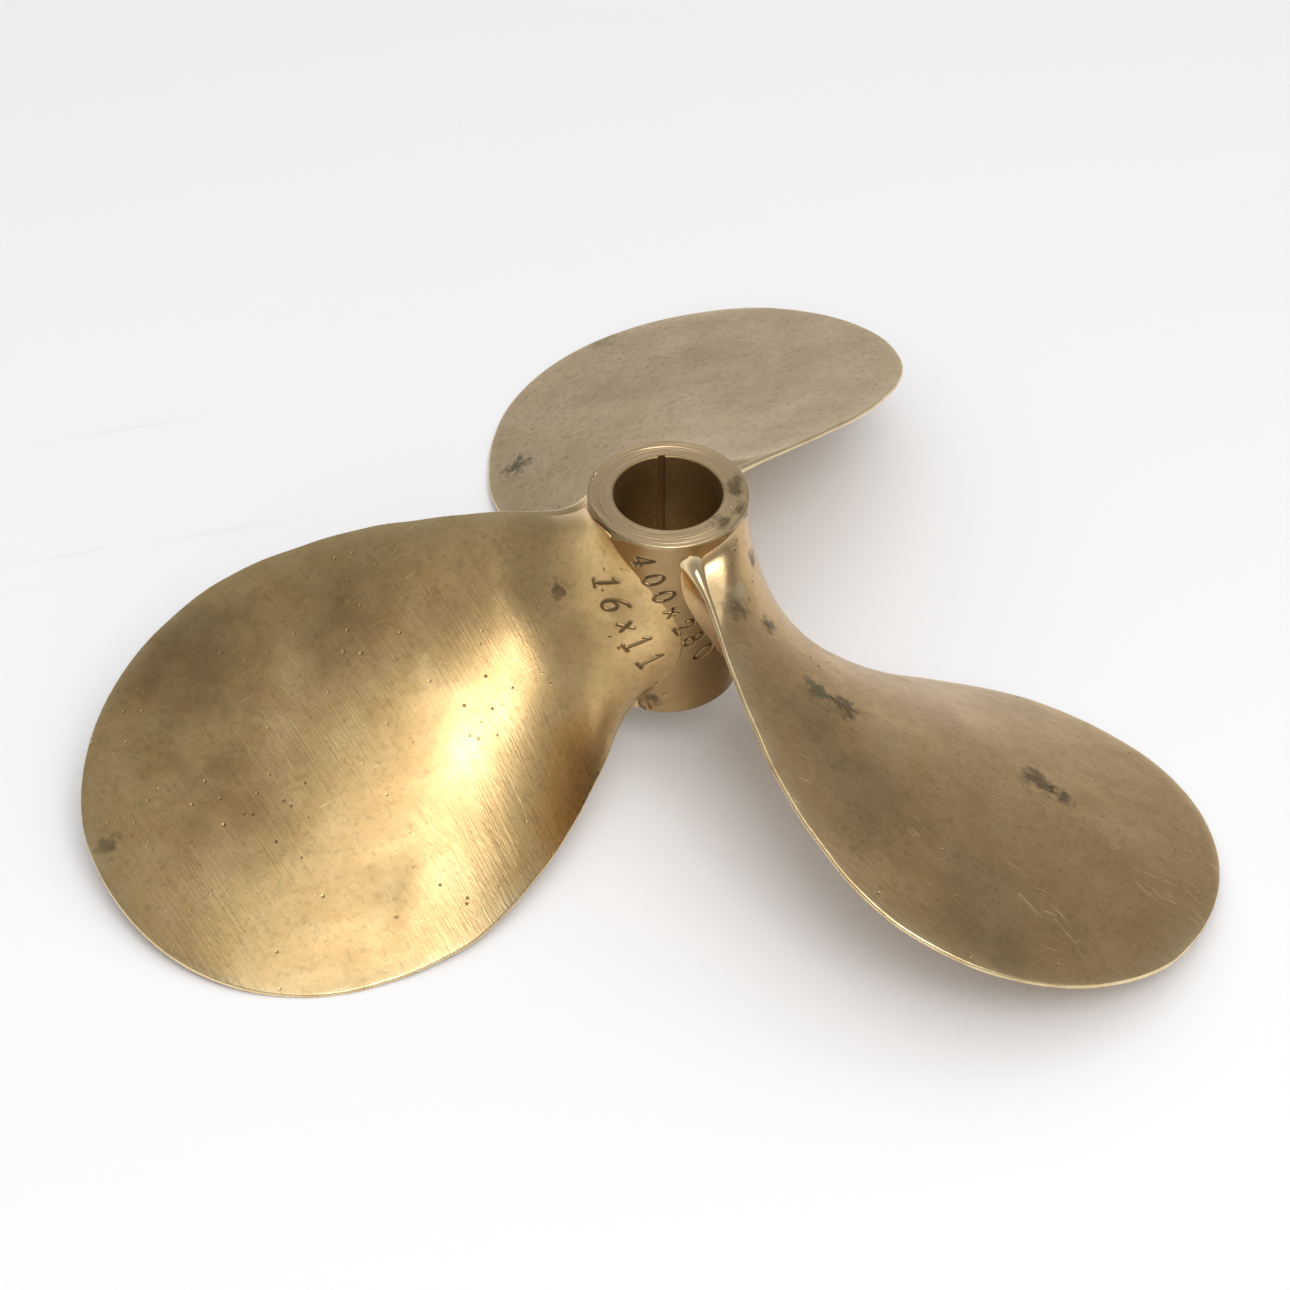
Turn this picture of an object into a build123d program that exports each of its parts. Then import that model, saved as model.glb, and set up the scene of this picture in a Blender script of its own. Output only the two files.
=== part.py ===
from build123d import *
import math
import os

# Three-bladed boat propeller, cast in one piece: a bored hub and three wide left-handed blades.
# Millimetres. +Z runs along the shaft towards the forward end of the hub, and the origin is on the
# shaft axis halfway along the hub. The boundaries between hub and blades are the hub's own surface.

# ---- propeller ----
DIAMETER = 400.0
BLADE_COUNT = 3
FIRST_BLADE_ANGLE = 90.0       # direction of blade 1's tip, degrees from +X
TIP_PITCH = 272.0              # advance per turn at the tip
ROOT_PITCH_GAIN = 60.0         # extra pitch towards the shaft, growing with the square of the depth
TIP_RAKE = 50.0                # how far the tip lies aft of the same line at the shaft
BLADE_FORWARD = 3.6            # where the blade line meets the shaft axis, forward of mid hub

# ---- hub ----
HUB_LENGTH = 75.0
HUB_FORWARD_RADIUS = 26.0
HUB_AFT_RADIUS = 24.0
HUB_RIM_CHAMFER = 0.6
BORE_RADIUS = 17.5
BORE_RIM_CHAMFER = 0.4
KEY_WIDTH = 2.0
KEY_DEPTH = 1.2
KEY_ANGLE = 104.0

# ---- marks on the hub ----
FACE_RING_RADIUS = 22.4        # turned groove on the forward face
FACE_RING_WIDTH = 0.5
FACE_RING_DEPTH = 0.25
BEVEL_ANGLE = 221.0            # flat left on the forward rim
BEVEL_TILT = 50.0
BEVEL_REACH = 23.0             # distance of the bevel's inner line from the shaft axis

# ---- blade edges, as (radius, distance along the blade from its tip line) ----
# Control points of two smooth curves that start inside the hub and meet at the tip.
LEADING_RAIL = [(28.0, -33.0), (110.0, -63.0), (165.0, -120.0), (200.0, -36.0), (200.0, 0.0)]
TRAILING_RAIL = [(28.0, 37.0), (185.0, 133.0), (65.0, 34.0), (200.0, 159.0), (200.0, 0.0)]

# ---- blade sections ----
EDGE_THICKNESS = 1.6
ROOT_THICKNESS = 9.5           # arch of the back carried to the shaft axis, without fillets
THICKNESS_TAPER = 0.7
NOSE_GAIN = 1.2                # extra edge radius near the hub
NOSE_FADE = 12.0               # distance over which that extra radius dies away
NOSE_FILLET = 12.0             # the edge swells into the hub over this height
NOSE_FILLET_SHARE = 0.18
BACK_FILLET = 31.0
BACK_FILLET_SHARE = 0.74
LEADING_FULLNESS = 16          # the back fillet stays full nearly out to the leading edge
TRAILING_FULLNESS = 4
FACE_FILLET = 14.0
FACE_FILLET_SHARE = 0.5
EDGE_FILLET = 14.0
LEADING_FILLET_SHARE = 0.7
TRAILING_FILLET_SHARE = 0.35
LEAST_CLEARANCE = 0.5          # the fillets stop spreading this close to the hub
SECTION_POINTS = 11
NOSE_ANGLES = (45, 0, -45)      # points round each rounded edge
SECTION_RADII = [23, 25, 27, 30, 34, 40, 48, 58, 70, 85, 102, 120, 138, 155, 169, 180, 187, 192.5, 196.3,
                 198.7]
ROOT_PLANE = 12.0              # the blade's inner end, hidden inside the hub
ROOT_SECTION_RADIUS = 21.0
TIP_FLAT = 0.2                 # the tip is dressed flat by this much

TIP_RADIUS = DIAMETER / 2


def rail_point(rail, t):
    """Point of the smooth curve steered by the rail's control points."""
    last = len(rail) - 1
    weights = [math.comb(last, i) * (1 - t) ** (last - i) * t**i for i in range(last + 1)]
    radius = sum(w * p[0] for w, p in zip(weights, rail))
    along = sum(w * p[1] for w, p in zip(weights, rail))
    return radius, along


def rail_offset(rail, radius):
    """Distance of a blade edge from the tip line, measured round a cylinder of this radius."""
    low, high = -0.1, 1.0
    for _ in range(50):
        middle = (low + high) / 2
        if rail_point(rail, middle)[0] < radius:
            low = middle
        else:
            high = middle
    return rail_point(rail, low)[1]


def helix_at(radius):
    """Angle of the blade's helix on a cylinder of this radius."""
    depth = 1 - radius / TIP_RADIUS
    pitch = TIP_PITCH + ROOT_PITCH_GAIN * depth**2
    return math.atan(pitch / (2 * math.pi * radius))


def height_at(radius, along):
    """Height of the blade's middle surface, which falls to the left hand."""
    rake = TIP_RAKE * radius / TIP_RADIUS
    return BLADE_FORWARD - rake - along * math.sin(helix_at(radius))


def on_blade(radius, along, out):
    """Point on a cylinder: along the helix, then out from the middle surface towards the back."""
    helix = helix_at(radius)
    turn = (along * math.cos(helix) + out * math.sin(helix)) / radius
    height = height_at(radius, along) + out * math.cos(helix)
    return Vector(radius * math.cos(turn), radius * math.sin(turn), height)


def clearance(radius, along):
    """Height above the hub's tapered side."""
    taper = (HUB_FORWARD_RADIUS - HUB_AFT_RADIUS) / HUB_LENGTH
    hub_radius = (HUB_FORWARD_RADIUS + HUB_AFT_RADIUS) / 2 + taper * height_at(radius, along)
    return max(radius - hub_radius, LEAST_CLEARANCE)


def spread(size, clear):
    """How far a fillet of this size has spread at a height above the hub."""
    closeness = max(1 - clear / size, 0.0)
    return size * (1 - math.sqrt(1 - closeness**2))


def section(radius, plane=None):
    """Closed outline of one blade section: arched back, nearly flat face and rounded edges."""
    lead = rail_offset(LEADING_RAIL, radius)
    trail = rail_offset(TRAILING_RAIL, radius)
    lead -= LEADING_FILLET_SHARE * spread(EDGE_FILLET, clearance(radius, lead))
    trail += TRAILING_FILLET_SHARE * spread(EDGE_FILLET, clearance(radius, trail))
    edge_clear = clearance(radius, lead)
    nose = EDGE_THICKNESS / 2 + NOSE_GAIN * math.exp(-edge_clear / NOSE_FADE)
    nose += NOSE_FILLET_SHARE * spread(NOSE_FILLET, edge_clear)
    arch_height = ROOT_THICKNESS * (1 - radius / TIP_RADIUS) ** THICKNESS_TAPER

    def spot(along, out):
        point = on_blade(radius, along, out)
        return point if plane is None else Vector(plane, point.Y, point.Z)

    def nose_spots(tip, size, side):
        """Points round a rounded edge, from back to face at the trailing side and back up at the lead."""
        angles = [math.radians(a * side) for a in NOSE_ANGLES]
        return [spot(tip - side * size * (1 - math.cos(a)), size * math.sin(a)) for a in angles]

    back = []
    face = []
    for i in range(SECTION_POINTS):
        across = -math.cos(math.pi * i / (SECTION_POINTS - 1))
        fullness = LEADING_FULLNESS if across < 0 else TRAILING_FULLNESS
        along = (lead + trail + (trail - lead - 2 * nose) * across) / 2
        clear = clearance(radius, along)
        rise = arch_height * (1 - across**2)
        rise += BACK_FILLET_SHARE * spread(BACK_FILLET, clear) * (1 - abs(across) ** fullness)
        sink = FACE_FILLET_SHARE * spread(FACE_FILLET, clear) * (1 - across**4)
        back.append(spot(along, nose + rise))
        face.append(spot(along, -nose - sink))

    # Two edges that meet at the middle of each rounded edge. Every section has the same spline
    # parameters, so the loft through them stays a simple surface.
    trail_nose = nose_spots(trail, nose, 1)
    lead_nose = nose_spots(lead, nose, -1)
    middle = len(NOSE_ANGLES) // 2
    over = lead_nose[middle:] + back + trail_nose[:middle + 1]
    under = trail_nose[middle:] + face[::-1] + lead_nose[:middle + 1]
    outward = spot(lead, nose) - spot(lead, -nose)
    inward = spot(trail, -nose) - spot(trail, nose)
    steps = [i / (len(over) - 1) for i in range(len(over))]
    upper = Edge.make_spline(over, tangents=[outward, inward], parameters=steps)
    lower = Edge.make_spline(under, tangents=[inward, outward], parameters=steps)
    return Wire([upper, lower])


def hub_blank():
    """Outside of the hub before boring: a slightly tapered boss with a bevelled forward rim."""
    half = HUB_LENGTH / 2
    c = HUB_RIM_CHAMFER
    outline = Polyline(
        (0, -half),
        (HUB_AFT_RADIUS - c, -half),
        (HUB_AFT_RADIUS, -half + c),
        (HUB_FORWARD_RADIUS, half - c),
        (HUB_FORWARD_RADIUS - c, half),
        (0, half),
        close=True,
    )
    blank = revolve(Plane.XZ * make_face(outline), Axis.Z)
    rim = Location((0, 0, half), (0, 0, BEVEL_ANGLE)) * Location((BEVEL_REACH, 0, 0), (0, BEVEL_TILT, 0))
    cutter = rim * Box(40, 80, 20, align=(Align.CENTER, Align.CENTER, Align.MIN))
    return blank - cutter


blank = hub_blank()

# Hub: bore, key groove and turned ring.
half = HUB_LENGTH / 2
hub = blank - Cylinder(BORE_RADIUS, HUB_LENGTH + 2)
for end in (-1, 1):
    mouth = Pos(0, 0, end * half) * Rot(90 - 90 * end, 0, 0)
    flare = mouth * Cone(BORE_RADIUS - 1, BORE_RADIUS + BORE_RIM_CHAMFER, 1 + BORE_RIM_CHAMFER,
                         align=(Align.CENTER, Align.CENTER, Align.MAX))
    hub -= flare
key = Rot(0, 0, KEY_ANGLE) * Pos(BORE_RADIUS, 0, 0) * Box(2 * KEY_DEPTH, KEY_WIDTH, HUB_LENGTH + 2)
hub -= key
ring = Cylinder(FACE_RING_RADIUS + FACE_RING_WIDTH / 2, FACE_RING_DEPTH * 2)
ring -= Cylinder(FACE_RING_RADIUS - FACE_RING_WIDTH / 2, FACE_RING_DEPTH * 2)
hub -= Pos(0, 0, half) * ring

# Blades: one loft, trimmed to the hub's surface and to its aft end, and repeated round the shaft.
tip_plane = TIP_RADIUS - TIP_FLAT
wires = [section(ROOT_SECTION_RADIUS, ROOT_PLANE)]
wires += [section(radius) for radius in SECTION_RADII]
wires += [section(tip_plane, tip_plane)]
washer_space = Cylinder(HUB_AFT_RADIUS, HUB_LENGTH, align=(Align.CENTER, Align.CENTER, Align.MAX))
blade = Solid.make_loft(wires) - (blank + Pos(0, 0, -half) * washer_space)

parts = {"hub": hub}
for number in range(BLADE_COUNT):
    angle = FIRST_BLADE_ANGLE + number * 360 / BLADE_COUNT
    parts[f"blade_{number + 1}"] = Rot(0, 0, angle) * blade

os.makedirs("parts", exist_ok=True)
for name, shape in parts.items():
    shape.label = name
    export_step(shape, f"parts/{name}.step")
    print(name, round(shape.volume), "mm3,", len(shape.solids()), "solid")
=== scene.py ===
import math

import bpy
import numpy as np
from mathutils import Matrix, Vector


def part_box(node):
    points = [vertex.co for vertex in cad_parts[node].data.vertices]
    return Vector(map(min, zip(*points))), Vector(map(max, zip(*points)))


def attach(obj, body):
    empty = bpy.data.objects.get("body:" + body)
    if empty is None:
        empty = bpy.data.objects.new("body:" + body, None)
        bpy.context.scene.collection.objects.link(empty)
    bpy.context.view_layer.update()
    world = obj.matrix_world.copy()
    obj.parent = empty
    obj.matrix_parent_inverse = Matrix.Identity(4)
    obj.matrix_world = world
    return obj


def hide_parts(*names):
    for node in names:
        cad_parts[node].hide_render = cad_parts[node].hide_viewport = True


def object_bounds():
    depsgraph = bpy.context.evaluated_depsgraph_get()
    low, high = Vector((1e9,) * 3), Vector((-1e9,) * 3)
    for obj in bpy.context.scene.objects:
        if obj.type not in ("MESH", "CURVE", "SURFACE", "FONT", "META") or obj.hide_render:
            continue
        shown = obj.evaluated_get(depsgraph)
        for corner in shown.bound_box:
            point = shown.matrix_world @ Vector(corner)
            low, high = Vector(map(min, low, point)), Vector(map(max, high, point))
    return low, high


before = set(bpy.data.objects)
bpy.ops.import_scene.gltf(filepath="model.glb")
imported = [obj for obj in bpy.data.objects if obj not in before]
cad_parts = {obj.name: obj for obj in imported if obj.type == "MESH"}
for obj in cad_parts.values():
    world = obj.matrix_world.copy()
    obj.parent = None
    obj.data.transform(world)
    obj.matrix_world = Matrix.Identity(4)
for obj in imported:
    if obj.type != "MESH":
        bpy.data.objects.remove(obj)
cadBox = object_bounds()
hubLow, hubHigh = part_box("hub")
mm = 0.001
hubHalf = (hubHigh.z - hubLow.z) / mm / 2
print("frame loaded, hub", round(2 * hubHalf, 1), "mm long")


# hand finish that hub and blades share
handFinish = {
    "seed": 23,
    "slowWaves": (14, 46.0, 0.045),  # how many, wavelength in mm, height in mm
    "quickWaves": (18, 12.0, 0.007),
    "lengthSpread": (0.6, 1.5),
    "heightSpread": (0.4, 1.0),
    "lip": (0.18, 1.9, 0.45),  # round a dent: height in dent depths, place and width in dent radii
    # dents: place in mm, radius, depth
    "dents": [
        ((-24.6, 5.4, 37.5), 0.9, 0.7),
        ((-24.9, 3.3, 37.5), 0.7, 0.5),
        ((-33.0, -22.5, 11.0), 1.3, 0.6),
        ((-35.4, -21.0, 12.0), 0.8, 0.3),
        ((25.0, -32.0, 20.0), 2.2, 0.35),
        ((36.0, -29.5, 11.0), 2.0, 0.3),
        ((53.0, -48.0, 3.0), 4.0, 0.25),
        ((62.0, -50.5, -2.0), 3.5, 0.3),
        ((79.0, -1.0, -34.0), 2.6, 0.5),
        ((28.5, -10.0, 24.0), 1.2, 0.3),
        ((-104.0, -21.0, -4.0), 1.6, 0.2),
        ((-1.0, -24.3, -31.0), 1.2, 0.5),
        ((-3.4, -24.0, -35.0), 1.1, 0.6),
        ((-6.0, -23.3, -36.6), 1.3, 0.8),
        ((2.6, -24.0, -29.0), 0.8, 0.35),
    ],
}


def makeWaves(finish):
    # a sum of slow ripples in fixed random directions, as a hand-held grinder leaves them
    dice = np.random.RandomState(finish["seed"])
    made = []
    for count, length, height in (finish["slowWaves"], finish["quickWaves"]):
        for _ in range(count):
            way = dice.normal(size=3)
            way *= 2 * math.pi / length * dice.uniform(*finish["lengthSpread"]) / np.linalg.norm(way)
            made.append((way, dice.uniform(0, 2 * math.pi), height * dice.uniform(*finish["heightSpread"])))
    return made


waves = makeWaves(handFinish)


def smoothStep(low, high, value):
    t = np.clip((value - low) / (high - low), 0.0, 1.0)
    return t * t * (3 - 2 * t)


def handWork(points, normals, strength):
    # ripples and dents, in mm, along each point's own normal
    push = np.zeros(len(points))
    for way, start, height in waves:
        push += height * np.sin(points @ way + start)
    push *= strength
    lipHeight, lipPlace, lipWidth = handFinish["lip"]
    for place, radius, depth in handFinish["dents"]:
        away = np.linalg.norm(points - np.array(place), axis=1)
        push -= depth * np.exp(-((away / radius) ** 2))
        push += lipHeight * depth * np.exp(-(((away - lipPlace * radius) / (lipWidth * radius)) ** 2))
    return points + normals * push[:, None]


# size figures stamped by hand into the hub and the fillet beside it
stamping = {
    "seed": 5,
    "height": 7.2,
    "width": 4.2,
    "stroke": 0.95,
    "depth": 0.55,
    "wall": (0.3, 0.12),  # the walls of a stroke slope from inside its edge to outside it
    "burr": (0.07, 0.3, 0.22),  # height, distance from the stroke, width
    "step": 7.8,
    "slope": 64.0,
    "hubRadius": 25.0,
    # text, angle of its middle round the hub, height of its middle
    "rows": [("400x280", 282.5, 9.0), ("16x11", 251.5, 4.0)],
    "wander": 0.35,  # uneven spacing of hand stamps, mm
    "lean": 5.0,  # uneven lean, degrees
    "reach": (6, 8),  # how far from its middle a figure is looked for, across and up
    "farthest": 40,  # no stamping further than this from the shaft
}


def arcPoints(centre, across, tall, start, end, count=14):
    turn = np.radians(np.linspace(start, end, count))
    return [(centre[0] + across * math.cos(a), centre[1] + tall * math.sin(a)) for a in turn]


figureStrokes = {  # in a box one unit tall, its foot at 0
    "0": [arcPoints((0, 0.5), 0.42, 0.5, 0, 360, 24)],
    "1": [[(-0.28, 0.8), (0.02, 1.0), (0.02, 0.0)], [(-0.3, 0.0), (0.34, 0.0)]],
    "2": [arcPoints((0, 0.72), 0.4, 0.28, 170, -20) + [(-0.42, 0.0), (0.44, 0.0), (0.46, 0.12)]],
    "4": [[(0.46, 0.28), (-0.46, 0.28), (0.2, 1.0), (0.2, 0.0)], [(0.0, 0.0), (0.4, 0.0)]],
    "6": [arcPoints((0, 0.28), 0.4, 0.28, 0, 360, 20), arcPoints((0.42, 0.28), 0.84, 0.72, 180, 95)],
    "8": [arcPoints((0, 0.27), 0.42, 0.27, 0, 360, 20), arcPoints((0, 0.76), 0.33, 0.24, 0, 360, 18)],
    "x": [[(-0.32, 0.12), (0.32, 0.62)], [(-0.32, 0.62), (0.32, 0.12)]],
}
farAway = 1e9


def strokeDistance(points, stroke):
    best = np.full(len(points), farAway)
    for a, b in zip(stroke[:-1], stroke[1:]):
        a, b = np.array(a), np.array(b)
        way = b - a
        share = np.clip(((points - a) @ way) / max(way @ way, 1e-9), 0, 1)
        best = np.minimum(best, np.linalg.norm(points - a - share[:, None] * way, axis=1))
    return best


def stampDistance(points):
    # distance in mm from each point to the nearest stroke, measured round the hub's side
    s = stamping
    turn = np.degrees(np.arctan2(points[:, 1], points[:, 0])) % 360
    nearest = np.full(len(points), farAway)
    slope = math.radians(s["slope"])
    size = np.array([s["width"], s["height"]])
    dice = np.random.RandomState(s["seed"])
    for text, middle, level in s["rows"]:
        aroundHub = np.radians(turn - middle) * s["hubRadius"]
        rise = points[:, 2] - level
        reading = aroundHub * math.cos(slope) - rise * math.sin(slope)
        upright = aroundHub * math.sin(slope) + rise * math.cos(slope)
        for i, character in enumerate(text):
            shift = (i - (len(text) - 1) / 2) * s["step"] + dice.uniform(-1, 1) * s["wander"]
            lift = dice.uniform(-1, 1) * s["wander"]
            lean = math.radians(dice.uniform(-1, 1) * s["lean"])
            x, y = reading - shift, upright - lift
            near = (np.abs(x) < s["reach"][0]) & (np.abs(y) < s["reach"][1])
            if not near.any():
                continue
            x, y = x[near], y[near]
            x, y = x * math.cos(lean) + y * math.sin(lean), y * math.cos(lean) - x * math.sin(lean)
            local = np.stack([x, y + s["height"] / 2], axis=1)
            for stroke in figureStrokes[character]:
                scaled = [tuple(np.array(p) * size) for p in stroke]
                nearest[near] = np.minimum(nearest[near], strokeDistance(local, scaled))
    return nearest


def stampInto(points, normals, allowed):
    # pushes the figures in and raises a small burr round them; returns how deep each point went
    near = allowed & (np.hypot(points[:, 0], points[:, 1]) < stamping["farthest"]) & (points[:, 1] < 0)
    gap = np.full(len(points), farAway)
    gap[near] = stampDistance(points[near])
    half = stamping["stroke"] / 2
    wallIn, wallOut = stamping["wall"]
    burrHeight, burrPlace, burrWidth = stamping["burr"]
    sunk = 1 - smoothStep(half - wallIn, half + wallOut, gap)
    burr = burrHeight * np.exp(-(((gap - half - burrPlace) / burrWidth) ** 2))
    points += normals * (burr - stamping["depth"] * sunk)[:, None]
    return sunk


# blades: sizes in mm, the same formulas as the CAD blades with finer steps
bladeShape = {
    "tipRadius": 200.0,
    "tipPitch": 272.0,
    "rootPitchGain": 60.0,
    "tipRake": 50.0,
    "bladeForward": 3.6,
    "leadingRail": [(28, -33), (110, -63), (165, -120), (200, -36), (200, 0)],
    "trailingRail": [(28, 37), (185, 133), (65, 34), (200, 159), (200, 0)],
    "railSteps": 6000,
    "edgeThickness": 1.6,
    "rootThickness": 9.5,
    "taper": 0.7,
    "noseGain": 1.2,
    "noseFade": 12.0,
    "noseFillet": (12.0, 0.18),  # size, share
    "backFillet": (31.0, 0.74),
    "faceFillet": (14.0, 0.5),
    "edgeFillet": 14.0,
    "leadFilletShare": 0.7,
    "trailFilletShare": 0.35,
    "leadFullness": 16,
    "trailFullness": 4,
    "leastClear": 0.25,  # the fillets stop spreading this close to the hub
    "hubRadius": 25.0,
    "hubTaper": 2.0 / 75.0,
    "settle": (20, 120),  # rows follow the hub's taper near it and settle on cylinders further out
    "edgeWander": 0.22,  # how far hand dressing lets the outline wander, mm
    "wanderWaves": [(7.0, 0.0, 1.0), (3.1, 1.0, 0.5), (17.0, 2.0, 1.0)],  # length, start, share
    "wanderFrom": (5, 40),
    "wanderTo": (174.5, 160),
    "trailWanderShare": 0.7,
    "rootSink": 0.3,  # the first row lies this deep inside the hub
    "middleRows": 74,
    "tipRows": 30,
    "tipLength": 26,  # rows close up over this length
    "nosePoints": 9,
    "edgeKeep": (0.35, 6.0),  # ripples left at the edge, and where they are whole again
    "rimWidth": 3.0,
    "stampedUpTo": 9,  # height above the hub that the figures can reach on blade 2
}
blades = {  # direction of the tip, rows up the root fillet, points over the back, points over the face
    "blade_1": (90.0, 60, 150, 90),
    "blade_2": (210.0, 150, 330, 90),
    "blade_3": (330.0, 80, 190, 90),
}


def railTable(rail):
    t = np.linspace(-0.1, 1, bladeShape["railSteps"])
    last = len(rail) - 1
    weights = [math.comb(last, i) * (1 - t) ** (last - i) * t**i for i in range(last + 1)]
    radius = sum(w * p[0] for w, p in zip(weights, rail))
    along = sum(w * p[1] for w, p in zip(weights, rail))
    return radius, along


leadTable = railTable(bladeShape["leadingRail"])
trailTable = railTable(bladeShape["trailingRail"])


def helixAt(radius):
    s = bladeShape
    depth = 1 - radius / s["tipRadius"]
    return np.arctan((s["tipPitch"] + s["rootPitchGain"] * depth**2) / (2 * math.pi * radius))


def heightAt(radius, along):
    s = bladeShape
    return s["bladeForward"] - s["tipRake"] * radius / s["tipRadius"] - along * np.sin(helixAt(radius))


def spread(size, clear):
    closeness = np.clip(1 - clear / size, 0, 1)
    return size * (1 - np.sqrt(1 - closeness**2))


def bladeRows(rootRows):
    # heights above the hub: even steps up the fillet, then along the blade, closing up at the tip
    s = bladeShape
    size = s["backFillet"][0]
    sweep = np.linspace(math.radians(2), math.pi / 2, rootRows)
    root = size * (1 - np.cos(sweep))
    span = s["tipRadius"] - s["hubRadius"]
    middle = np.linspace(size, span - s["tipLength"], s["middleRows"])[1:]
    q = np.linspace(0, 1, s["tipRows"])[1:]
    tip = span - s["tipLength"] * (1 - q) ** 2
    return np.concatenate([[-s["rootSink"]], root, middle, tip])


def edgeDrift(rise):
    s = bladeShape
    drift = sum(share * np.sin(rise / length + start) for length, start, share in s["wanderWaves"])
    return drift * s["edgeWander"] * smoothStep(*s["wanderFrom"], rise) * smoothStep(*s["wanderTo"], rise)


def bladeRow(height, drift, back, face, noseTurn):
    # one closed row of points at a height above the hub, with each point's distance from the blade's edge
    s = bladeShape
    clear = max(height, s["leastClear"])
    radius = min(s["hubRadius"] + height, s["tipRadius"])
    edgeSpread = spread(s["edgeFillet"], clear)
    lead = np.interp(radius, *leadTable) - s["leadFilletShare"] * edgeSpread + drift
    trail = np.interp(radius, *trailTable) + s["trailFilletShare"] * edgeSpread
    trail += drift * s["trailWanderShare"]
    nose = s["edgeThickness"] / 2 + s["noseGain"] * math.exp(-clear / s["noseFade"])
    nose += s["noseFillet"][1] * spread(s["noseFillet"][0], clear)
    nose = min(nose, (trail - lead) * 0.45 + 1e-4)  # the edges never cross at the tip
    arch = s["rootThickness"] * max(1 - radius / s["tipRadius"], 0) ** s["taper"]
    backSpread = s["backFillet"][1] * spread(s["backFillet"][0], clear)
    faceSpread = s["faceFillet"][1] * spread(s["faceFillet"][0], clear)
    fullness = np.where(back < 0, s["leadFullness"], s["trailFullness"])
    half = (trail - lead) / 2 - nose
    middle = (lead + trail) / 2
    along = np.concatenate([
        middle + half * back,
        trail - nose * (1 - np.cos(noseTurn)),
        middle + half * face,
        lead + nose * (1 - np.cos(noseTurn[::-1])),
    ])
    out = np.concatenate([
        nose + arch * (1 - back**2) + backSpread * (1 - np.abs(back) ** fullness),
        nose * np.sin(noseTurn),
        -nose - faceSpread * (1 - face**4),
        nose * np.sin(noseTurn[::-1]),
    ])
    settle = 1 - smoothStep(*s["settle"], height)
    here = radius + s["hubTaper"] * heightAt(radius, along) * settle
    helix = helixAt(here)
    turn = (along * np.cos(helix) + out * np.sin(helix)) / here
    level = heightAt(here, along) + out * np.cos(helix)
    toEdge = np.minimum(along - lead, trail - along)
    toEdge = np.minimum(toEdge, s["tipRadius"] - radius + 0.2)
    return np.stack([here * np.cos(turn), here * np.sin(turn), level], axis=1), toEdge


def bladeGrid(name):
    angle, rootRows, backCount, faceCount = blades[name]
    rise = bladeRows(rootRows)
    # points lie closer together towards the edges
    back = -np.cos(np.linspace(0, math.pi, backCount)) * 0.5 + np.linspace(-1, 1, backCount) * 0.5
    face = back[np.linspace(0, backCount - 1, faceCount).round().astype(int)][::-1]
    noseTurn = np.radians(np.linspace(90, -90, bladeShape["nosePoints"]))[1:-1]
    rows = [bladeRow(height, drift, back, face, noseTurn) for height, drift in zip(rise, edgeDrift(rise))]
    grid = np.array([row for row, _ in rows])
    edgeGap = np.array([toEdge for _, toEdge in rows])
    a = math.radians(angle)
    spin = np.array([[math.cos(a), math.sin(a), 0], [-math.sin(a), math.cos(a), 0], [0, 0, 1]])
    onRoot = np.repeat(rise[:, None] < bladeShape["stampedUpTo"], grid.shape[1], axis=1)
    return grid @ spin, edgeGap, onRoot


def gridNormals(grid, closed=False):
    around = np.roll(grid, -1, axis=1) - np.roll(grid, 1, axis=1)
    if closed:
        up = np.roll(grid, -1, axis=0) - np.roll(grid, 1, axis=0)
    else:
        up = np.gradient(grid, axis=0)
    normals = np.cross(around, up)
    normals = normals / np.maximum(np.linalg.norm(normals, axis=2, keepdims=True), 1e-9)
    if not closed:
        normals[-1] = normals[-2]  # the last row is drawn together into the tip
    return normals


def meshFromGrid(name, grid, attributes, closed=False):
    rowCount, loopCount = grid.shape[:2]
    index = np.arange(rowCount * loopCount).reshape(rowCount, loopCount)
    nextLoop = np.roll(index, -1, axis=1)
    if closed:
        lower, lowerNext = index, nextLoop
        upper, upperNext = np.roll(index, -1, axis=0), np.roll(nextLoop, -1, axis=0)
    else:
        lower, lowerNext, upper, upperNext = index[:-1], nextLoop[:-1], index[1:], nextLoop[1:]
    faces = np.stack([lower, lowerNext, upperNext, upper], axis=-1).reshape(-1, 4)
    mesh = bpy.data.meshes.new(name)
    mesh.from_pydata((grid.reshape(-1, 3) * mm).tolist(), [], faces.tolist())
    mesh.polygons.foreach_set("use_smooth", [True] * len(mesh.polygons))
    for label, values in attributes.items():
        layer = mesh.attributes.new(label, "FLOAT", "POINT")
        layer.data.foreach_set("value", np.asarray(values, np.float32).reshape(-1))
    mesh.update()
    piece = bpy.data.objects.new(name, mesh)
    bpy.context.scene.collection.objects.link(piece)
    return piece


def makeBlade(name):
    grid, edgeGap, onRoot = bladeGrid(name)
    points, normals = grid.reshape(-1, 3).copy(), gridNormals(grid).reshape(-1, 3)
    atEdge, wholeFrom = bladeShape["edgeKeep"]
    whole = smoothStep(0.0, wholeFrom, edgeGap).reshape(-1)
    points = handWork(points, normals, atEdge + (1 - atEdge) * whole)
    sunk = np.zeros(len(points))
    if name == "blade_2":
        sunk = stampInto(points, normals, onRoot.reshape(-1))
    points = points.reshape(grid.shape)
    points[-1] = points[-1].mean(axis=0)
    rim = np.exp(-np.maximum(edgeGap, 0) / bladeShape["rimWidth"])
    return meshFromGrid(name + "_cast", points, {"rim": rim, "stamp": sunk})


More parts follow.
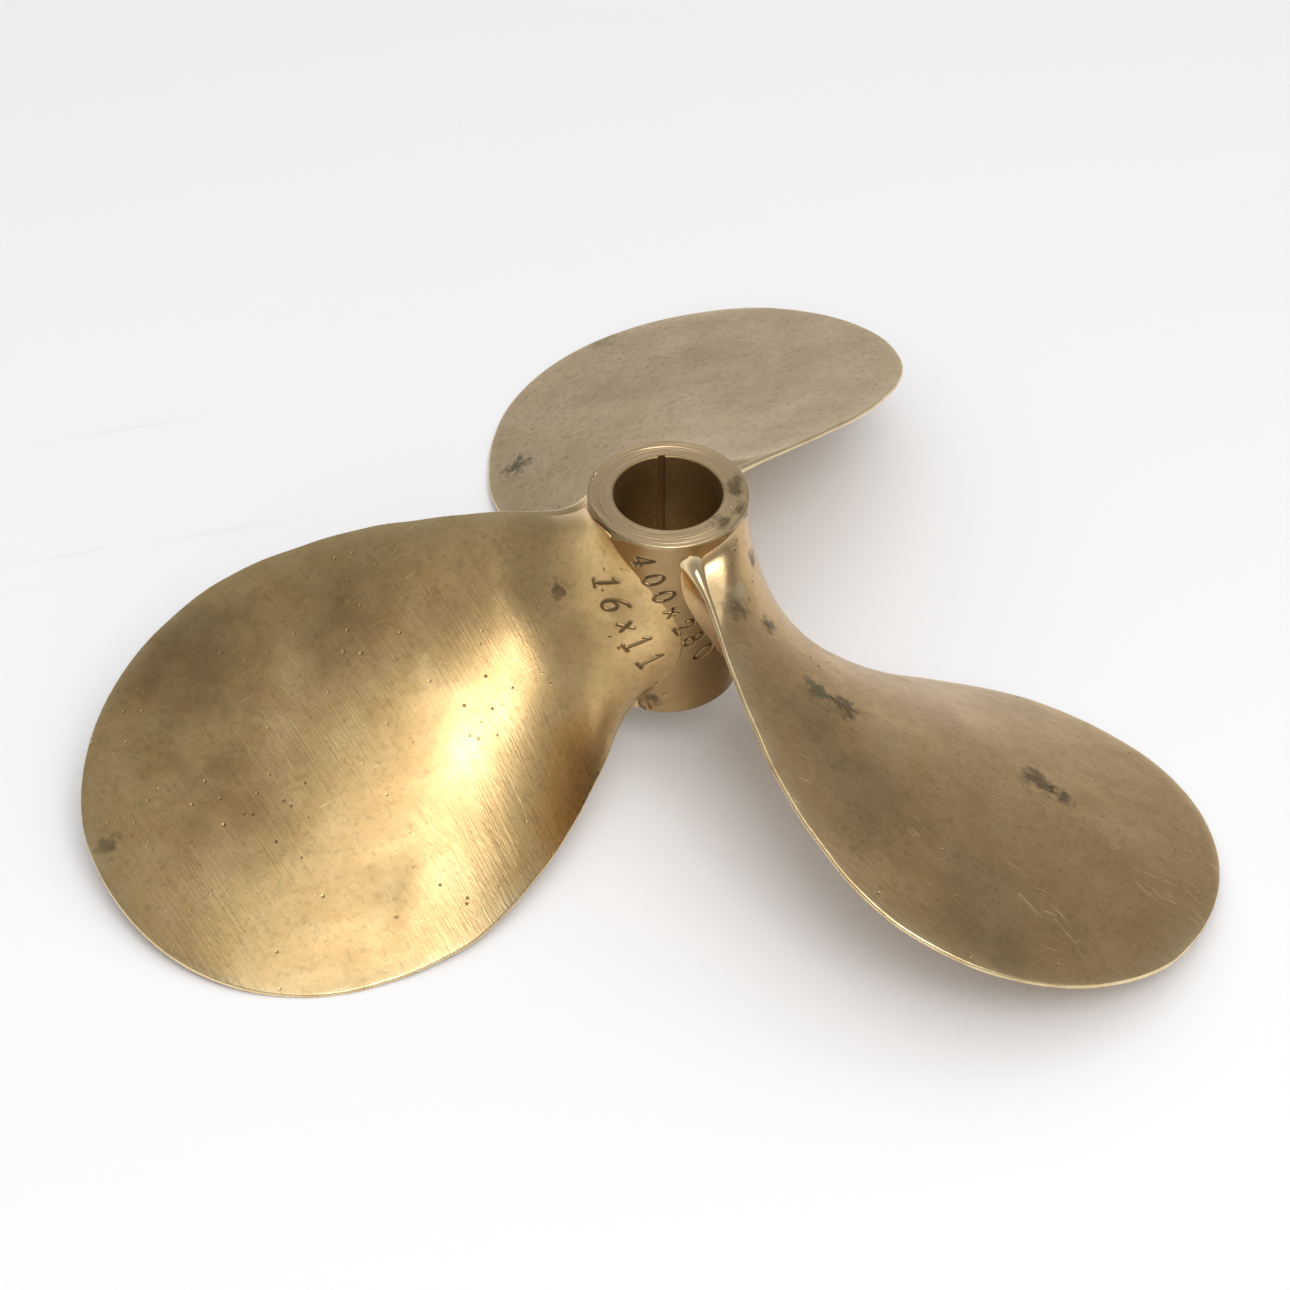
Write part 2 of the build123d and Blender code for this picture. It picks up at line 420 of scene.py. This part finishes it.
# hub: sizes in mm
hubShape = {
    "forwardRadius": 26.0,
    "aftRadius": 24.0,
    "boreRadius": 17.5,
    "rimRound": 0.7,
    "boreRound": 0.5,
    "keyAngle": 104.0,
    "keyWidth": 2.0,
    "keyDepth": 1.1,
    "keyWall": (0.1, 0.12),  # the groove's walls slope from inside its edge to outside it
    "keyAtMouth": 0.8,  # share of the depth that shows at the mouth
    # grooves turned in the forward face: radius, depth, half width
    "rings": [
        (18.7, 0.05, 0.16), (19.5, 0.09, 0.2), (20.6, 0.05, 0.16), (21.3, 0.1, 0.18),
        (22.4, 0.24, 0.28), (23.3, 0.07, 0.16), (24.1, 0.1, 0.2), (24.8, 0.05, 0.15),
    ],
    "ringRipples": [(3, 1, 0.35), (7, 2, 0.25)],  # waves round the face, shift, share of the depth
    "bevelAngle": 221.0,
    "bevelTilt": 50.0,
    "bevelReach": 23.0,
    "bevelCrown": 0.0022,
    "bevelRock": (0.05, 0.9),  # a file rocks as it is pushed: height, waves
    "rippleShares": (0.0, 1.0, 0.15, 0.0),  # hand ripples left on aft face, side, forward face and bore
    "rows": (14, 372, 84, 90),  # rows over aft face, side, forward face and bore
    "rimWidth": 0.5,
    "rimFrom": 24.8,
    # angles round the hub, closer together at the figures, the bevel and the key groove: from, to, step
    "columns": [(0, 100, 1.2), (100, 108, 0.25), (108, 178, 1.2), (178, 228, 0.6), (228, 324, 0.4),
                (324, 360, 1.2)],
}
aftFace, side, forwardFace, boreWall = range(4)


def roundedCorner(radius, height, size, start, end, count, part):
    turn = np.radians(np.linspace(start, end, count))
    return [(radius + size * math.cos(a), height + size * math.sin(a), part) for a in turn]


def hubProfile():
    # (radius, height, part) once round the hub's wall
    h = hubShape
    aft, forward, bore = h["aftRadius"], h["forwardRadius"], h["boreRadius"]
    rim, lip = h["rimRound"], h["boreRound"]
    half = hubHalf
    aftRows, sideRows, forwardRows, boreRows = h["rows"]
    spots = [(r, -half, aftFace) for r in np.linspace(bore + lip, aft - rim, aftRows)]
    spots += roundedCorner(aft - rim, -half + rim, rim, -80, -10, 5, side)
    for z in np.linspace(-half + rim, half - rim, sideRows):
        spots.append((aft + (forward - aft) * (z + half) / (2 * half), z, side))
    spots += roundedCorner(forward - rim, half - rim, rim, 10, 80, 6, side)
    spots += [(r, half, forwardFace) for r in np.linspace(forward - rim, bore + lip, forwardRows)]
    spots += roundedCorner(bore + lip, half - lip, lip, 100, 170, 5, boreWall)
    spots += [(bore, z, boreWall) for z in np.linspace(half - lip, -half + lip, boreRows)]
    spots += roundedCorner(bore + lip, -half + lip, lip, 190, 260, 5, boreWall)
    return np.array(spots)


def hubGrid():
    h = hubShape
    columns = np.radians(np.concatenate([np.arange(*stretch) for stretch in h["columns"]]))
    radius, level, part = [values[:, None] + 0 * columns for values in hubProfile().T]
    for ringRadius, depth, halfWidth in h["rings"]:
        ripple = 1.0
        for count, shift, share in h["ringRipples"]:
            ripple = ripple + share * np.sin(count * columns + shift * ringRadius)
        cut = np.exp(-(((radius - ringRadius) / halfWidth) ** 2))
        level = level - (part == forwardFace) * depth * ripple * cut
    # the key groove, in the bore's wall and across both mouths
    offCentre = np.abs((columns - math.radians(h["keyAngle"])) * h["boreRadius"])
    wallIn, wallOut = h["keyWall"]
    groove = 1 - smoothStep(h["keyWidth"] / 2 - wallIn, h["keyWidth"] / 2 + wallOut, offCentre)
    fade = smoothStep(h["boreRadius"] + h["keyDepth"] + 0.2, h["boreRadius"] + h["boreRound"], radius)
    onFaces = (part == forwardFace) | (part == aftFace)
    radius = (radius + np.where(part == boreWall, groove * h["keyDepth"], 0)
              + np.where(onFaces, groove * fade * h["keyDepth"] * h["keyAtMouth"], 0))
    return np.stack([radius * np.cos(columns), radius * np.sin(columns), level], axis=-1), part.reshape(-1)


def fileBevel(points, part):
    # the flat filed across the forward rim
    h = hubShape
    a, tilt = math.radians(h["bevelAngle"]), math.radians(h["bevelTilt"])
    out = np.array([math.sin(tilt) * math.cos(a), math.sin(tilt) * math.sin(a), math.cos(tilt)])
    start = np.array([h["bevelReach"] * math.cos(a), h["bevelReach"] * math.sin(a), hubHalf])
    across = points @ np.array([-math.sin(a), math.cos(a), 0.0])
    rockHeight, rockWaves = h["bevelRock"]
    over = (points - start) @ out
    over -= h["bevelCrown"] * across**2 + rockHeight * np.sin(across * rockWaves)
    cut = np.maximum(over, 0) * (part != boreWall)
    return points - cut[:, None] * out


def makeHub():
    h = hubShape
    grid, part = hubGrid()
    points, normals = grid.reshape(-1, 3).copy(), gridNormals(grid, closed=True).reshape(-1, 3)
    points = handWork(points, normals, np.array(h["rippleShares"])[part.astype(int)])
    sunk = stampInto(points, normals, part == side)
    points = fileBevel(points, part)
    outer = np.hypot(points[:, 0], points[:, 1]) > h["rimFrom"]
    attributes = {
        "stamp": sunk,
        "topFace": part == forwardFace,
        "bore": part == boreWall,
        "rim": np.exp(-np.abs(points[:, 2] - hubHalf) / h["rimWidth"]) * outer,
    }
    return meshFromGrid("hub_cast", points.reshape(grid.shape), attributes, closed=True)


pieces = {"hub": makeHub()}
print("hub built,", len(pieces["hub"].data.vertices), "points")
for bladeName in blades:
    pieces[bladeName] = makeBlade(bladeName)
    print(bladeName, "built,", len(pieces[bladeName].data.vertices), "points")


def setSocket(tree, socket, value):
    if isinstance(value, bpy.types.NodeSocket):
        tree.links.new(value, socket)
    else:
        socket.default_value = value


def addNode(tree, kind, inputs=None, **settings):
    made = tree.nodes.new(kind)
    for label, value in settings.items():
        setattr(made, label, value)
    for key, value in (inputs or {}).items():
        setSocket(tree, made.inputs[key], value)
    return made


def ramp(tree, source, stops):
    made = addNode(tree, "ShaderNodeValToRGB", {0: source})
    band = made.color_ramp
    while len(band.elements) < len(stops):
        band.elements.new(0.5)
    for element, (place, value) in zip(band.elements, stops):
        element.position = place
        element.color = (value, value, value, 1)
    return made.outputs[0]


def mixColour(tree, share, first, second):
    made = addNode(tree, "ShaderNodeMix", data_type="RGBA")
    setSocket(tree, made.inputs[0], share)
    for socket, value in ((made.inputs[6], first), (made.inputs[7], second)):
        setSocket(tree, socket, value if isinstance(value, bpy.types.NodeSocket) else (*value, 1))
    return made.outputs[2]


def calc(tree, operation, a, b=0.0, clamp=False):
    return addNode(tree, "ShaderNodeMath", {0: a, 1: b}, operation=operation, use_clamp=clamp).outputs[0]


def plus(tree, a, b, clamp=False):
    return calc(tree, "ADD", a, b, clamp)


def minus(tree, a, b):
    return calc(tree, "SUBTRACT", a, b)


def times(tree, a, b):
    return calc(tree, "MULTIPLY", a, b)


def noise(tree, where, scale, detail=3.0, rough=0.55, distortion=0.0):
    inputs = {"Vector": where, "Scale": scale, "Detail": detail, "Roughness": rough, "Distortion": distortion}
    return addNode(tree, "ShaderNodeTexNoise", inputs).outputs[0]


def mapRange(tree, value, low, high, atLow=0.0, atHigh=1.0):
    inputs = {0: value, 1: low, 2: high, 3: atLow, 4: atHigh}
    return addNode(tree, "ShaderNodeMapRange", inputs).outputs[0]


def stretched(tree, where, lie, scale):
    # lie: direction that the marks run in, degrees from +X; scale: across the marks, along them, up
    turn = math.radians(90.0 - lie)
    turned = addNode(tree, "ShaderNodeMapping", {"Vector": where, "Rotation": (0, 0, turn)}).outputs[0]
    return addNode(tree, "ShaderNodeVectorMath", {0: turned, 1: scale}, operation="MULTIPLY").outputs[0]


def distanceTo(tree, where, place):
    return addNode(tree, "ShaderNodeVectorMath", {0: where, 1: place}, operation="DISTANCE").outputs["Value"]


def storedValue(tree, label):
    return addNode(tree, "ShaderNodeAttribute", attribute_name=label).outputs["Fac"]


# bronze: scales are per metre, depths in metres
bronzeLook = {
    "bright": (0.79, 0.56, 0.27),
    "warm": (0.71, 0.47, 0.20),
    "dull": (0.46, 0.31, 0.14),
    "olive": (0.24, 0.18, 0.08),
    "scratchTint": (0.95, 0.8, 0.5),
    "poreTint": (0.06, 0.04, 0.02),
    "rubbedTint": (0.93, 0.76, 0.46),
    "stampDirt": (0.10, 0.065, 0.03),
    "brightRough": 0.30,
    "dullRough": 0.36,
    "rootRough": 0.06,  # the neck was never ground as fine as the blade
    "neck": (0.028, 0.055),  # the grinding starts and is full at these distances from the shaft
    "patchScale": 13.0,
    "mottleScale": 55.0,
    "speckScale": 420.0,
    "speckShare": 0.45,
    "dullShare": 0.42,
    "dullMetal": 0.14,  # how much of the metal's shine tarnish hides
    "scratchLie": -40.0,
    "grinding": [(0, 1500, 45, 1.0), (24, 1100, 40, 0.6)],  # swing, scale across and along, weight
    "grindRough": 0.16,
    "scratches": [(-6, 900, 60), (31, 1100, 75), (78, 1300, 90)],  # swing, scale across and along
    "scratchShare": 0.25,
    "grindDepth": 0.00006,
    "scratchDepth": 0.00004,
    "speckDepth": 0.00003,
    "mottleDepth": 0.00004,
    "poreDepth": 0.00025,
    "pores": [(340.0, 0.2, 0.13), (170.0, 0.13, 0.10)],  # cells per metre, size in a cell, share of cells
    "stainsAndShade": [],  # place in mm, size, kind
}
bladeLooks = {
    "blade_1": {
        **bronzeLook,
        # painted reflection: the rear blade's colours are a lighter, greyer copy of the bronze, for the
        # bright backdrop it reflects at a grazing angle
        "bright": (0.82, 0.65, 0.43),
        "warm": (0.76, 0.56, 0.35),
        "dull": (0.55, 0.42, 0.27),
        "brightRough": 0.40,
        "dullRough": 0.5,
        "scratchLie": 14.0,
        "stainsAndShade": [((-68, 107, -51), 6, "dark"), ((-48, 185, -54), 8, "olive")],
    },
    "blade_2": {
        **bronzeLook,
        "scratchLie": -48.0,
        "stainsAndShade": [
            ((-33, -22, 11), 3.5, "dark"), ((-104, -21, -4), 3.0, "green"), ((-167, -100, -44), 5, "dark"),
            # the brown patches are painted shade on the neck of blade 2, where it meets the hub, and along
            # the blade
            ((-150, -30, -18), 22, "olive"), ((-129, -86, -33), 30, "brown"), ((-21, -30, -2), 12, "brown"),
            ((-74, -107, -45), 14, "pores"), ((-13, -27, 12), 15, "brown"), ((-16, -27, -14), 14, "brown"),
            ((-60, -30, 0), 26, "brown"), ((-100, -25, -6), 34, "brown"), ((-150, -45, -22), 34, "brown"),
        ],
    },
    "blade_3": {
        **bronzeLook,
        # painted shade: the right blade's colours and its larger tarnished share make a darker copy of the
        # bronze
        "bright": (0.74, 0.51, 0.26),
        "warm": (0.66, 0.43, 0.20),
        "dull": (0.40, 0.265, 0.125),
        "dullShare": 0.55,
        "scratchLie": -36.0,
        "stainsAndShade": [
            ((25, -32, 20), 5, "dark"), ((36, -29, 11), 4.5, "dark"), ((53, -48, 3), 7, "green"),
            ((63, -50, -2), 6, "dark"), ((126, -43, -33), 7, "dark"), ((134, -47, -35), 5, "dark"),
            ((76, -56, -8), 13, "worn"), ((111, -119, -22), 34, "olive"), ((72, -88, -10), 24, "olive"),
            ((55, -60, 0), 16, "olive"), ((28, -10, 22), 4, "dark"), ((25, -26, 22), 5, "chalk"),
        ],
    },
}
stainAndShadeKinds = {  # colour, strength, roughness
    "dark": ((0.07, 0.055, 0.035), 0.68, 0.5),
    "green": ((0.10, 0.12, 0.075), 0.7, 0.65),
    "olive": ((0.20, 0.15, 0.07), 0.5, 0.42),
    # painted shade: brown patches that darken blade 2 where it lies in shade
    "brown": ((0.32, 0.20, 0.085), 0.68, 0.34),
    "worn": ((0.62, 0.47, 0.27), 0.5, 0.36),
    "chalk": ((0.62, 0.58, 0.42), 0.4, 0.6),
    "pores": ((0.16, 0.11, 0.05), 0.35, 0.5),
}
patchEdges = {  # scale of the ragged edge, detail, roughness, raggedness, solid core as a share of the size
    "small": (260.0, 4, 0.65, 3.2, 0.3),
    "broad": (60.0, 3, 0.6, 1.6, 0.0),
}
broadFrom = 10  # stains and shade patches this size and over have the broad edge, mm


def tarnish(tree, where, mottle, look):
    # slow patches of brown over the ground metal
    patches = noise(tree, where, look["patchScale"], 5, 0.6, 0.6)
    cloud = plus(tree, times(tree, patches, 0.7), times(tree, mottle, 0.3))
    start, full = 0.56 - 0.3 * look["dullShare"], 0.86 - 0.2 * look["dullShare"]
    return ramp(tree, cloud, [(start, 0.0), (full, 1.0)])


def grindMarks(tree, where, look):
    # fine marks in crossing sets
    total = 0.0
    for swing, across, along, weight in look["grinding"]:
        combed = stretched(tree, where, look["scratchLie"] + swing, (across, along, along))
        lines = noise(tree, combed, 1.0, 2, 0.5)
        total = plus(tree, total, times(tree, lines, weight))
    return total


def deepScratches(tree, where, look):
    # single scratches in a few directions, let through only here and there
    deep = 0.0
    for swing, across, along in look["scratches"]:
        combed = stretched(tree, where, look["scratchLie"] + swing, (across, along, along))
        lines = noise(tree, combed, 1.0, 1, 0.4)
        deep = calc(tree, "MAXIMUM", deep, ramp(tree, lines, [(0.71, 0.0), (0.75, 1.0)]))
    gate = ramp(tree, noise(tree, where, 26.0, 2), [(0.48, 0.0), (0.6, 1.0)])
    return times(tree, deep, gate)


def castingPores(tree, where, look):
    pore = 0.0
    for scale, size, share in look["pores"]:
        cells = addNode(tree, "ShaderNodeTexVoronoi", {"Vector": where, "Scale": scale, "Randomness": 1.0})
        spot = ramp(tree, cells.outputs["Distance"], [(size * 0.4, 1.0), (size, 0.0)])
        chance = addNode(tree, "ShaderNodeSeparateColor", {0: cells.outputs["Color"]}).outputs[0]
        spot = times(tree, spot, ramp(tree, chance, [(1 - share, 0.0), (1.02 - share, 1.0)]))
        pore = calc(tree, "MAXIMUM", pore, spot)
    porous = ramp(tree, noise(tree, where, 22.0, 3), [(0.4, 0.25), (0.6, 1.0)])
    return times(tree, pore, porous)


def layStainsAndShade(tree, where, look, colour, roughness):
    # stains where they lie on the casting, and the brown patches of painted shade laid the same way
    edges = {kind: noise(tree, where, *values[:3]) for kind, values in patchEdges.items()}
    for place, size, kind in look["stainsAndShade"]:
        tint, strength, roughTo = stainAndShadeKinds[kind]
        edgeKind = "broad" if size >= broadFrom else "small"
        raggedness, core = patchEdges[edgeKind][3:]
        away = distanceTo(tree, where, tuple(p * mm for p in place))
        ragged = times(tree, minus(tree, edges[edgeKind], 0.5), size * mm * raggedness)
        mask = mapRange(tree, plus(tree, away, ragged), size * mm * core, size * mm, strength, 0.0)
        colour = mixColour(tree, mask, colour, tint)
        roughness = plus(tree, roughness, times(tree, mask, roughTo - look["brightRough"]))
    return colour, roughness


def bronze(name, look, onHub=False):
    made = bpy.data.materials.new(name)
    made.use_nodes = True
    tree = made.node_tree
    tree.nodes.clear()
    shader = addNode(tree, "ShaderNodeBsdfPrincipled")
    result = addNode(tree, "ShaderNodeOutputMaterial")
    tree.links.new(shader.outputs[0], result.inputs[0])
    where = addNode(tree, "ShaderNodeTexCoord").outputs["Object"]
    apart = addNode(tree, "ShaderNodeSeparateXYZ", {0: where})
    squares = [calc(tree, "POWER", apart.outputs[i], 2.0) for i in (0, 1)]
    fromShaft = calc(tree, "SQRT", plus(tree, *squares))
    offHub = mapRange(tree, fromShaft, *look["neck"])

    mottle = noise(tree, where, look["mottleScale"], 5, 0.62, 0.3)
    dullness = tarnish(tree, where, mottle, look)
    colour = mixColour(tree, ramp(tree, mottle, [(0.35, 0.0), (0.65, 1.0)]), look["bright"], look["warm"])
    colour = mixColour(tree, dullness, colour, look["dull"])
    speck = noise(tree, where, look["speckScale"], 4, 0.7)
    specks = ramp(tree, speck, [(0.5, 0.0), (0.75, 1.0)])
    colour = mixColour(tree, times(tree, specks, look["speckShare"]), colour, look["olive"])

    grind = times(tree, grindMarks(tree, where, look), offHub)
    deep = times(tree, deepScratches(tree, where, look), offHub)
    colour = mixColour(tree, times(tree, deep, look["scratchShare"]), colour, look["scratchTint"])
    pore = castingPores(tree, where, look)
    colour = mixColour(tree, times(tree, pore, 0.8), colour, look["poreTint"])
    # painted highlight: the forward face on top of the hub is painted lighter, where the light falls on it
    if onHub:
        colour = mixColour(tree, times(tree, storedValue(tree, "topFace"), 0.75), colour, look["faceHighlightTint"])

    duller = times(tree, dullness, look["dullRough"] - look["brightRough"])
    roughness = plus(tree, look["brightRough"], duller)
    roughness = plus(tree, roughness, times(tree, minus(tree, 1.0, offHub), look["rootRough"]))
    colour, roughness = layStainsAndShade(tree, where, look, colour, roughness)

    # rims rubbed bright, figures dark in the bottom
    hands = ramp(tree, noise(tree, where, 90.0, 4), [(0.3, 0.25), (0.6, 1.0)])
    rubbed = times(tree, storedValue(tree, "rim"), hands)
    colour = mixColour(tree, times(tree, rubbed, 0.75), colour, look["rubbedTint"])
    stamped = storedValue(tree, "stamp")
    colour = mixColour(tree, times(tree, stamped, 0.85), colour, look["stampDirt"])
    roughness = minus(tree, roughness, times(tree, rubbed, 0.08))
    roughness = plus(tree, roughness, times(tree, minus(tree, grind, 0.7), look["grindRough"]))
    roughness = plus(tree, roughness, times(tree, stamped, 0.2), clamp=True)

    relief = plus(tree, times(tree, grind, look["grindDepth"]), times(tree, speck, look["speckDepth"]))
    relief = minus(tree, relief, times(tree, pore, look["poreDepth"]))
    relief = minus(tree, relief, times(tree, deep, look["scratchDepth"]))
    relief = plus(tree, relief, times(tree, mottle, look["mottleDepth"]))
    if onHub:
        relief, colour, roughness = toolMarks(tree, where, apart, fromShaft, relief, colour, roughness)
    bump = addNode(tree, "ShaderNodeBump", {"Strength": 1.0, "Distance": 1.0, "Height": relief}).outputs[0]
    metal = minus(tree, 1.0, times(tree, dullness, look["dullMetal"]))
    feeds = {"Base Color": colour, "Roughness": roughness, "Normal": bump, "Metallic": metal}
    for label, source in feeds.items():
        tree.links.new(source, shader.inputs[label])
    return made


hubLook = {
    **bronzeLook,
    # painted shade: the hub's colours are a darker copy of the blades' bronze, for its shaded side
    "bright": (0.46, 0.315, 0.15),
    "warm": (0.39, 0.255, 0.115),
    "dull": (0.27, 0.18, 0.085),
    "dullShare": 0.5,
    "brightRough": 0.34,
    # painted highlight laid over the forward face
    "faceHighlightTint": (0.98, 0.74, 0.46),
    "faceRough": 0.5,
    "boreTint": (0.60, 0.43, 0.20),
    "boreRough": 0.5,
    "rust": (0.42, 0.21, 0.09),
    "rustReach": (0.0006, 0.0017),
    "rustCentre": 0.018,  # distance of the rust's middle from the shaft
    "ringTurns": 9000.0,
    "wobble": 0.0004,
    "ringDepth": 0.000012,
    "coarseScale": 2600.0,
    "coarseDepth": 0.00007,
    "feedScale": 2400.0,
    "feedDepth": 0.00008,
    "stainsAndShade": [((21, 6, 37), 4.5, "dark"), ((19, -12, 37), 5, "dark"), ((24, -4, 36.5), 3.5, "dark"),
               ((-1, -24, -32), 3, "dark")],
}


def toolMarks(tree, where, apart, fromShaft, relief, colour, roughness):
    # turning lines on the forward face and in the bore, and the rust that ran from the key groove
    look = hubLook
    topFace, bore = storedValue(tree, "topFace"), storedValue(tree, "bore")
    wobble = times(tree, noise(tree, where, 40.0, 2), look["wobble"])
    rings = calc(tree, "SINE", times(tree, plus(tree, fromShaft, wobble), look["ringTurns"]))
    outward = addNode(tree, "ShaderNodeCombineXYZ", {0: times(tree, fromShaft, look["coarseScale"])})
    coarse = noise(tree, outward.outputs[0], 1.0, 3)
    faceRelief = plus(tree, times(tree, rings, look["ringDepth"]), times(tree, coarse, look["coarseDepth"]))
    relief = plus(tree, relief, times(tree, topFace, faceRelief))
    upward = addNode(tree, "ShaderNodeCombineXYZ", {2: times(tree, apart.outputs[2], look["feedScale"])})
    feed = noise(tree, upward.outputs[0], 1.0, 3)
    relief = plus(tree, relief, times(tree, times(tree, bore, feed), look["feedDepth"]))

    boreCloud = ramp(tree, noise(tree, where, 90.0, 5, 0.65), [(0.3, 0.3), (0.7, 1.0)])
    colour = mixColour(tree, times(tree, bore, times(tree, boreCloud, 0.8)), colour, look["boreTint"])
    dirt = times(tree, topFace, ramp(tree, coarse, [(0.42, 0.0), (0.62, 0.45)]))
    colour = mixColour(tree, dirt, colour, look["olive"])

    angle = math.radians(hubShape["keyAngle"])
    groovePlace = (math.cos(angle) * look["rustCentre"], math.sin(angle) * look["rustCentre"], 0.0)
    flat = addNode(tree, "ShaderNodeCombineXYZ", {0: apart.outputs[0], 1: apart.outputs[1]}).outputs[0]
    ragged = times(tree, minus(tree, noise(tree, where, 240.0, 4), 0.5), 0.0022)
    away = plus(tree, distanceTo(tree, flat, groovePlace), ragged)
    rust = mapRange(tree, away, *look["rustReach"], 0.6, 0.0)
    colour = mixColour(tree, times(tree, rust, bore), colour, look["rust"])
    roughness = plus(tree, roughness, times(tree, bore, look["boreRough"] - look["brightRough"]))
    faceChange = look["faceRough"] - look["brightRough"]
    roughness = plus(tree, roughness, times(tree, topFace, faceChange), clamp=True)
    return relief, colour, roughness


pieces["hub"].data.materials.append(bronze("hub bronze", hubLook, onHub=True))
for bladeName, look in bladeLooks.items():
    pieces[bladeName].data.materials.append(bronze(bladeName + " bronze", look))
for node, piece in pieces.items():
    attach(piece, "root")
    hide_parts(node)
print("finishes made")


paintedFloor = {
    "size": 14.0,
    "colour": (0.90, 0.90, 0.91),
    "roughness": 0.6,
    "scuffColour": (0.5, 0.5, 0.5),
    "scuffShare": 0.08,
    "scuffLie": 24.0,
    "scuffScale": (90, 4, 1),
    "patchScale": 3.0,
}


def makeFloor():
    f = paintedFloor
    low, half = cadBox[0].z, f["size"] / 2
    corners = [(-half, -half, low), (half, -half, low), (half, half, low), (-half, half, low)]
    mesh = bpy.data.meshes.new("floor")
    mesh.from_pydata(corners, [], [(0, 1, 2, 3)])
    floor = bpy.data.objects.new("floor", mesh)
    bpy.context.scene.collection.objects.link(floor)
    made = bpy.data.materials.new("painted floor")
    made.use_nodes = True
    tree = made.node_tree
    shader = tree.nodes["Principled BSDF"]
    where = addNode(tree, "ShaderNodeTexCoord").outputs["Object"]
    lines = noise(tree, stretched(tree, where, f["scuffLie"], f["scuffScale"]), 1.0, 4, 0.6)
    gate = ramp(tree, noise(tree, where, f["patchScale"], 3), [(0.5, 0.0), (0.62, 1.0)])
    scuffs = times(tree, ramp(tree, lines, [(0.66, 0.0), (0.72, 1.0)]), gate)
    colour = mixColour(tree, times(tree, scuffs, f["scuffShare"]), f["colour"], f["scuffColour"])
    tree.links.new(colour, shader.inputs["Base Color"])
    shader.inputs["Roughness"].default_value = f["roughness"]
    mesh.materials.append(made)


def aimAt(thing, place, target, roll=0.0):
    way = (Vector(target) - Vector(place)).normalized()
    facing = way.to_track_quat("-Z", "Y").to_matrix().to_4x4()
    thing.matrix_world = Matrix.Translation(place) @ (facing @ Matrix.Rotation(roll, 4, "Z"))


lighting = {
    "sky": [(0.0, 0.55), (0.06, 0.55), (0.45, 0.27), (1.0, 0.36)],  # height, brightness
    "skyStrength": 1.0,
    # name: direction (azimuth, elevation), distance, width, height, watts
    "boxes": {
        "mainSoftbox": ((-62, 54), 2.1, 0.95, 0.75, 11.5),
        "softboxHalo": ((-66, 60), 2.3, 2.0, 1.4, 6.0),
        "topSoftbox": ((20, 84), 2.6, 2.2, 2.2, 10.0),
    },
    # fills that only matt surfaces see
    "fills": {
        "overheadFill": ((0, 90), 2.2, 6.0, 6.0, 47.0),
        "frontFill": ((-83, 27), 2.4, 2.6, 2.6, 12.5),
    },
}


def direction(azimuth, elevation):
    a, e = math.radians(azimuth), math.radians(elevation)
    return Vector((math.cos(e) * math.cos(a), math.cos(e) * math.sin(a), math.sin(e)))


def makeLamps(lamps, glossy):
    for label, (angles, distance, width, height, watts) in lamps.items():
        light = bpy.data.lights.new(label, "AREA")
        light.shape, light.size, light.size_y, light.energy = "RECTANGLE", width, height, watts
        lamp = bpy.data.objects.new(label, light)
        bpy.context.scene.collection.objects.link(lamp)
        aimAt(lamp, direction(*angles) * distance, (0, 0, 0))
        lamp.visible_glossy = glossy


def makeSky():
    world = bpy.data.worlds.new("studio")
    bpy.context.scene.world = world
    world.use_nodes = True
    tree = world.node_tree
    way = addNode(tree, "ShaderNodeTexCoord").outputs["Generated"]
    up = addNode(tree, "ShaderNodeSeparateXYZ", {0: way}).outputs[2]
    background = tree.nodes["Background"]
    tree.links.new(ramp(tree, up, lighting["sky"]), background.inputs[0])
    background.inputs[1].default_value = lighting["skyStrength"]


makeFloor()
makeLamps(lighting["boxes"], glossy=True)
makeLamps(lighting["fills"], glossy=False)
makeSky()
print("floor and lights placed")


cameraSetup = {
    "place": (0.09907, -0.83306, 0.77942),
    "target": (-0.0047, -0.01923, -0.01211),
    "lens": 98.1,
    "roll": 0.29,
    "nearest": 0.01,
}
lens = bpy.data.cameras.new("camera")
lens.lens, lens.sensor_width = cameraSetup["lens"], 36.0
lens.clip_start = cameraSetup["nearest"]
camera = bpy.data.objects.new("camera", lens)
bpy.context.scene.collection.objects.link(camera)
aimAt(camera, Vector(cameraSetup["place"]), cameraSetup["target"], math.radians(cameraSetup["roll"]))
bpy.context.scene.camera = camera
bpy.context.scene.view_settings.view_transform = "Standard"
bpy.context.scene.view_settings.look = "None"
print("camera placed")
